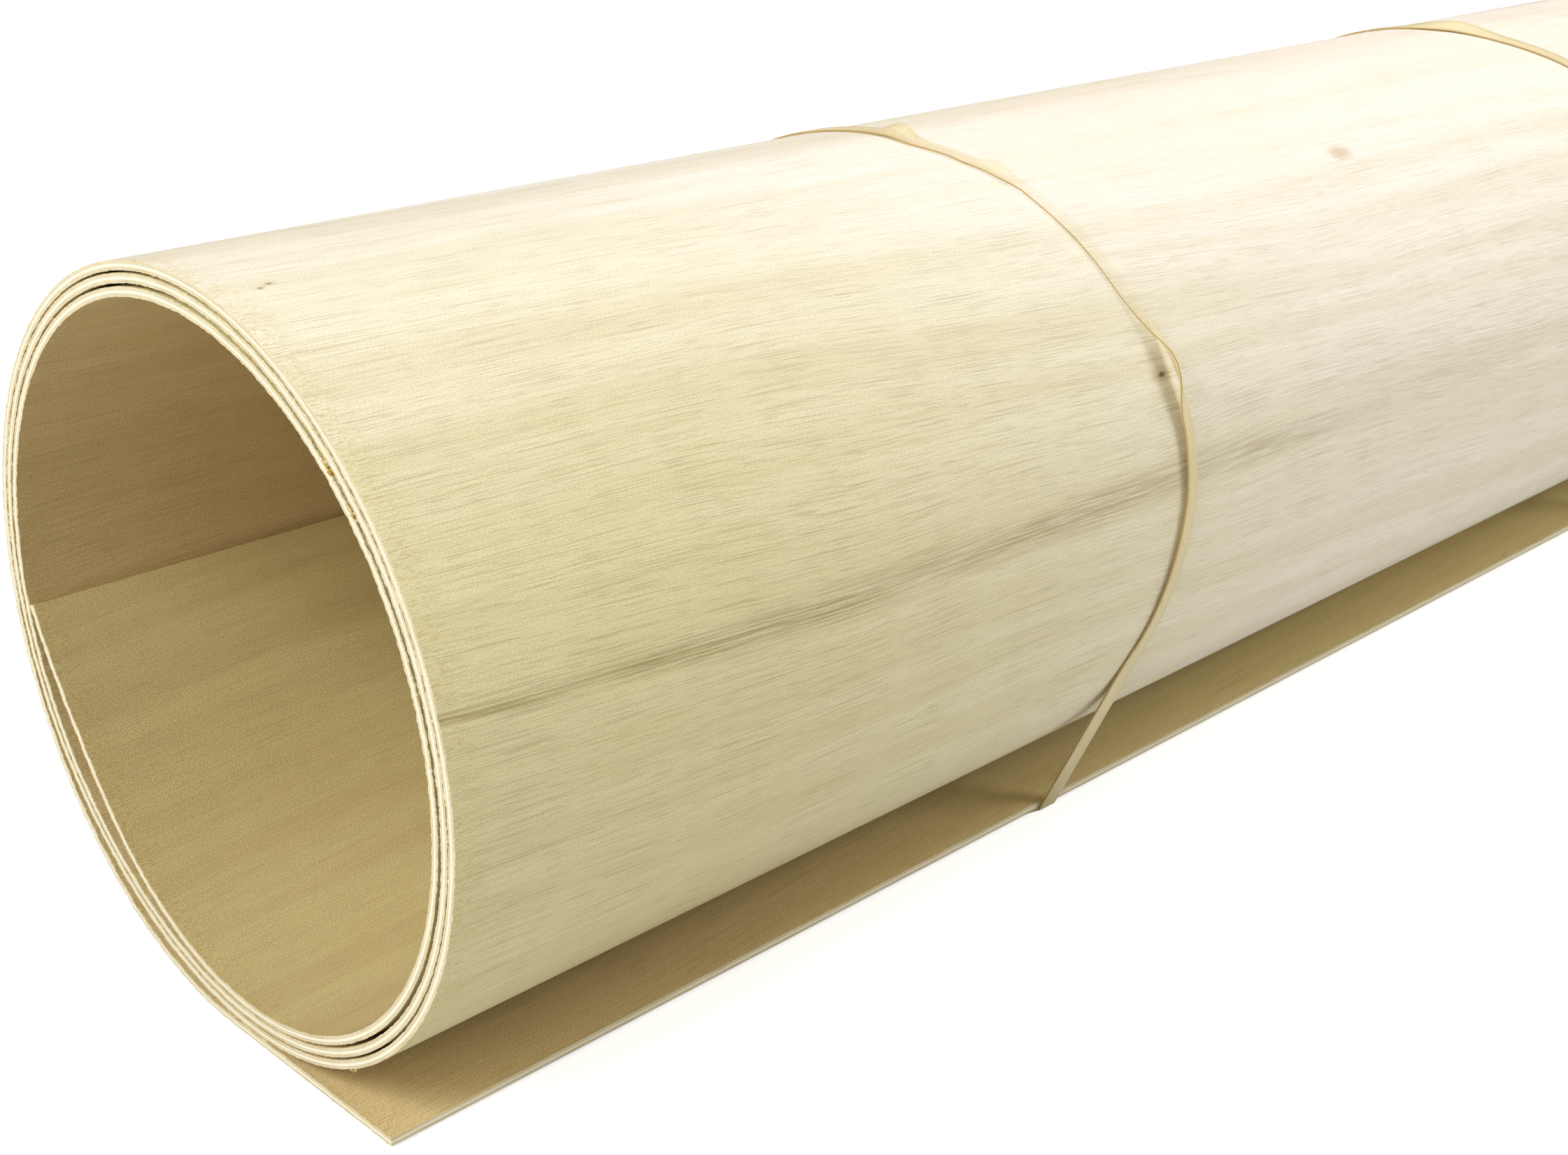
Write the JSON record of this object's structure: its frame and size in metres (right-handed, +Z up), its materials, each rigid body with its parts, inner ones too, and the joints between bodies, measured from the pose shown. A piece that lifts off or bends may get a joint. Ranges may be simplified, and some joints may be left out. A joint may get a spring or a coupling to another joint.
{
  "type": "roll of flexible plywood",
  "caption": "Thin flexible plywood sheet rolled into a loose spiral with an open bore and a flat flap to lie on, held by flat rubber bands.",
  "frame": {"origin": "middle of the bounding box in plan, at the level of the floor that the roll lies on", "axes": "+X along the roll's axis, away from the end that the bands are measured from, -Y to the free edge of the flap, +Z up"},
  "size_m": [1.22, 0.2512, 0.2493],
  "materials": {
    "plywood": "bare, sanded pale veneer with fine grain along the roll",
    "band": "natural rubber, matt and slightly see-through"
  },
  "bodies": {
    "root": {"plywood_sheet": "plywood", "near_band": "band", "far_band": "band"}
  },
  "joints": []
}
